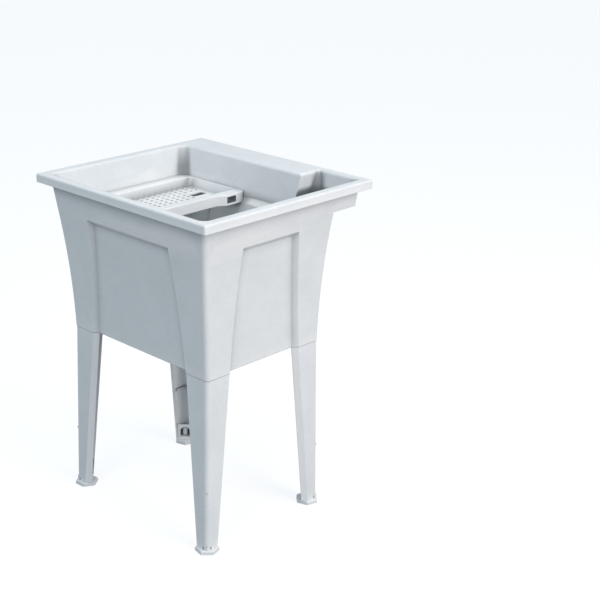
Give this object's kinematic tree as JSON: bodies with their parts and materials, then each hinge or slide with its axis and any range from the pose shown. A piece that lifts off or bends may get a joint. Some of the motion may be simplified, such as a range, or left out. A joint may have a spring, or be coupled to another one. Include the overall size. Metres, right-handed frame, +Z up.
{
  "type": "utility laundry sink",
  "caption": "Free-standing moulded laundry sink on four splayed corner legs, with a perforated lift-out drain tray, a stepped back deck with a pocket, a drain and levelling feet.",
  "frame": {"origin": "on the floor, under the middle of the rim", "axes": "+X to the right, +Y to the back deck, +Z up; seen from the front, -Y"},
  "size_m": [0.61, 0.56, 0.862],
  "materials": {
    "tub_plastic": "satin, faintly mottled moulded white",
    "tray_plastic": "satin moulded white",
    "leg_plastic": "satin moulded white",
    "pad_plastic": "plain moulded off-white",
    "zinc_steel": "zinc plated",
    "drain_plastic": "glossy white",
    "strainer_steel": "pressed stainless",
    "seal_rubber": "black",
    "stopper_rubber": "white"
  },
  "bodies": {
    "sink": {"tub": "tub_plastic", "leg_front_left": "leg_plastic", "leg_front_right": "leg_plastic", "leg_back_left": "leg_plastic", "leg_back_right": "leg_plastic", "drain_body": "drain_plastic", "drain_strainer": "strainer_steel", "drain_gasket": "seal_rubber", "drain_friction_ring": "drain_plastic", "drain_locknut": "drain_plastic", "tailpiece": "drain_plastic", "tailpiece_washer": "seal_rubber", "slip_nut": "drain_plastic"},
    "tray": {"drain_tray": "tray_plastic"},
    "plug": {"stopper": "stopper_rubber"},
    "stud_front_left": {"stud_front_left": "zinc_steel"},
    "pad_front_left": {"pad_front_left": "pad_plastic"},
    "stud_front_right": {"stud_front_right": "zinc_steel"},
    "pad_front_right": {"pad_front_right": "pad_plastic"},
    "stud_back_left": {"stud_back_left": "zinc_steel"},
    "pad_back_left": {"pad_back_left": "pad_plastic"},
    "stud_back_right": {"stud_back_right": "zinc_steel"},
    "pad_back_right": {"pad_back_right": "pad_plastic"}
  },
  "joints": [
    {"name": "tray_lift", "type": "slide", "parent": "sink", "child": "tray", "axis": [0, 0, 1], "range_m": [0, 0.15]},
    {"name": "stopper_lift", "type": "slide", "parent": "sink", "child": "plug", "axis": [0, 0, 1], "range_m": [0, 0.15]},
    {"name": "stud_front_left_height", "type": "slide", "parent": "sink", "child": "stud_front_left", "axis": [0, 0, -1], "range_m": [0, 0.02]},
    {"name": "pad_front_left_turn", "type": "hinge", "parent": "stud_front_left", "child": "pad_front_left", "pos_m": [-0.239, -0.21, 0.01], "axis": [0, 0, -1], "range_deg": [0, 4800]},
    {"name": "stud_front_right_height", "type": "slide", "parent": "sink", "child": "stud_front_right", "axis": [0, 0, -1], "range_m": [0, 0.02]},
    {"name": "pad_front_right_turn", "type": "hinge", "parent": "stud_front_right", "child": "pad_front_right", "pos_m": [0.239, -0.21, 0.01], "axis": [0, 0, -1], "range_deg": [0, 4800]},
    {"name": "stud_back_left_height", "type": "slide", "parent": "sink", "child": "stud_back_left", "axis": [0, 0, -1], "range_m": [0, 0.02]},
    {"name": "pad_back_left_turn", "type": "hinge", "parent": "stud_back_left", "child": "pad_back_left", "pos_m": [-0.239, 0.1535, 0.01], "axis": [0, 0, -1], "range_deg": [0, 4800]},
    {"name": "stud_back_right_height", "type": "slide", "parent": "sink", "child": "stud_back_right", "axis": [0, 0, -1], "range_m": [0, 0.02]},
    {"name": "pad_back_right_turn", "type": "hinge", "parent": "stud_back_right", "child": "pad_back_right", "pos_m": [0.239, 0.1535, 0.01], "axis": [0, 0, -1], "range_deg": [0, 4800]}
  ],
  "couplings": [
    {"joint": "stud_front_left_height", "follows": "pad_front_left_turn", "m_per_rad": 0.00023873},
    {"joint": "stud_front_right_height", "follows": "pad_front_right_turn", "m_per_rad": 0.00023873},
    {"joint": "stud_back_left_height", "follows": "pad_back_left_turn", "m_per_rad": 0.00023873},
    {"joint": "stud_back_right_height", "follows": "pad_back_right_turn", "m_per_rad": 0.00023873}
  ]
}
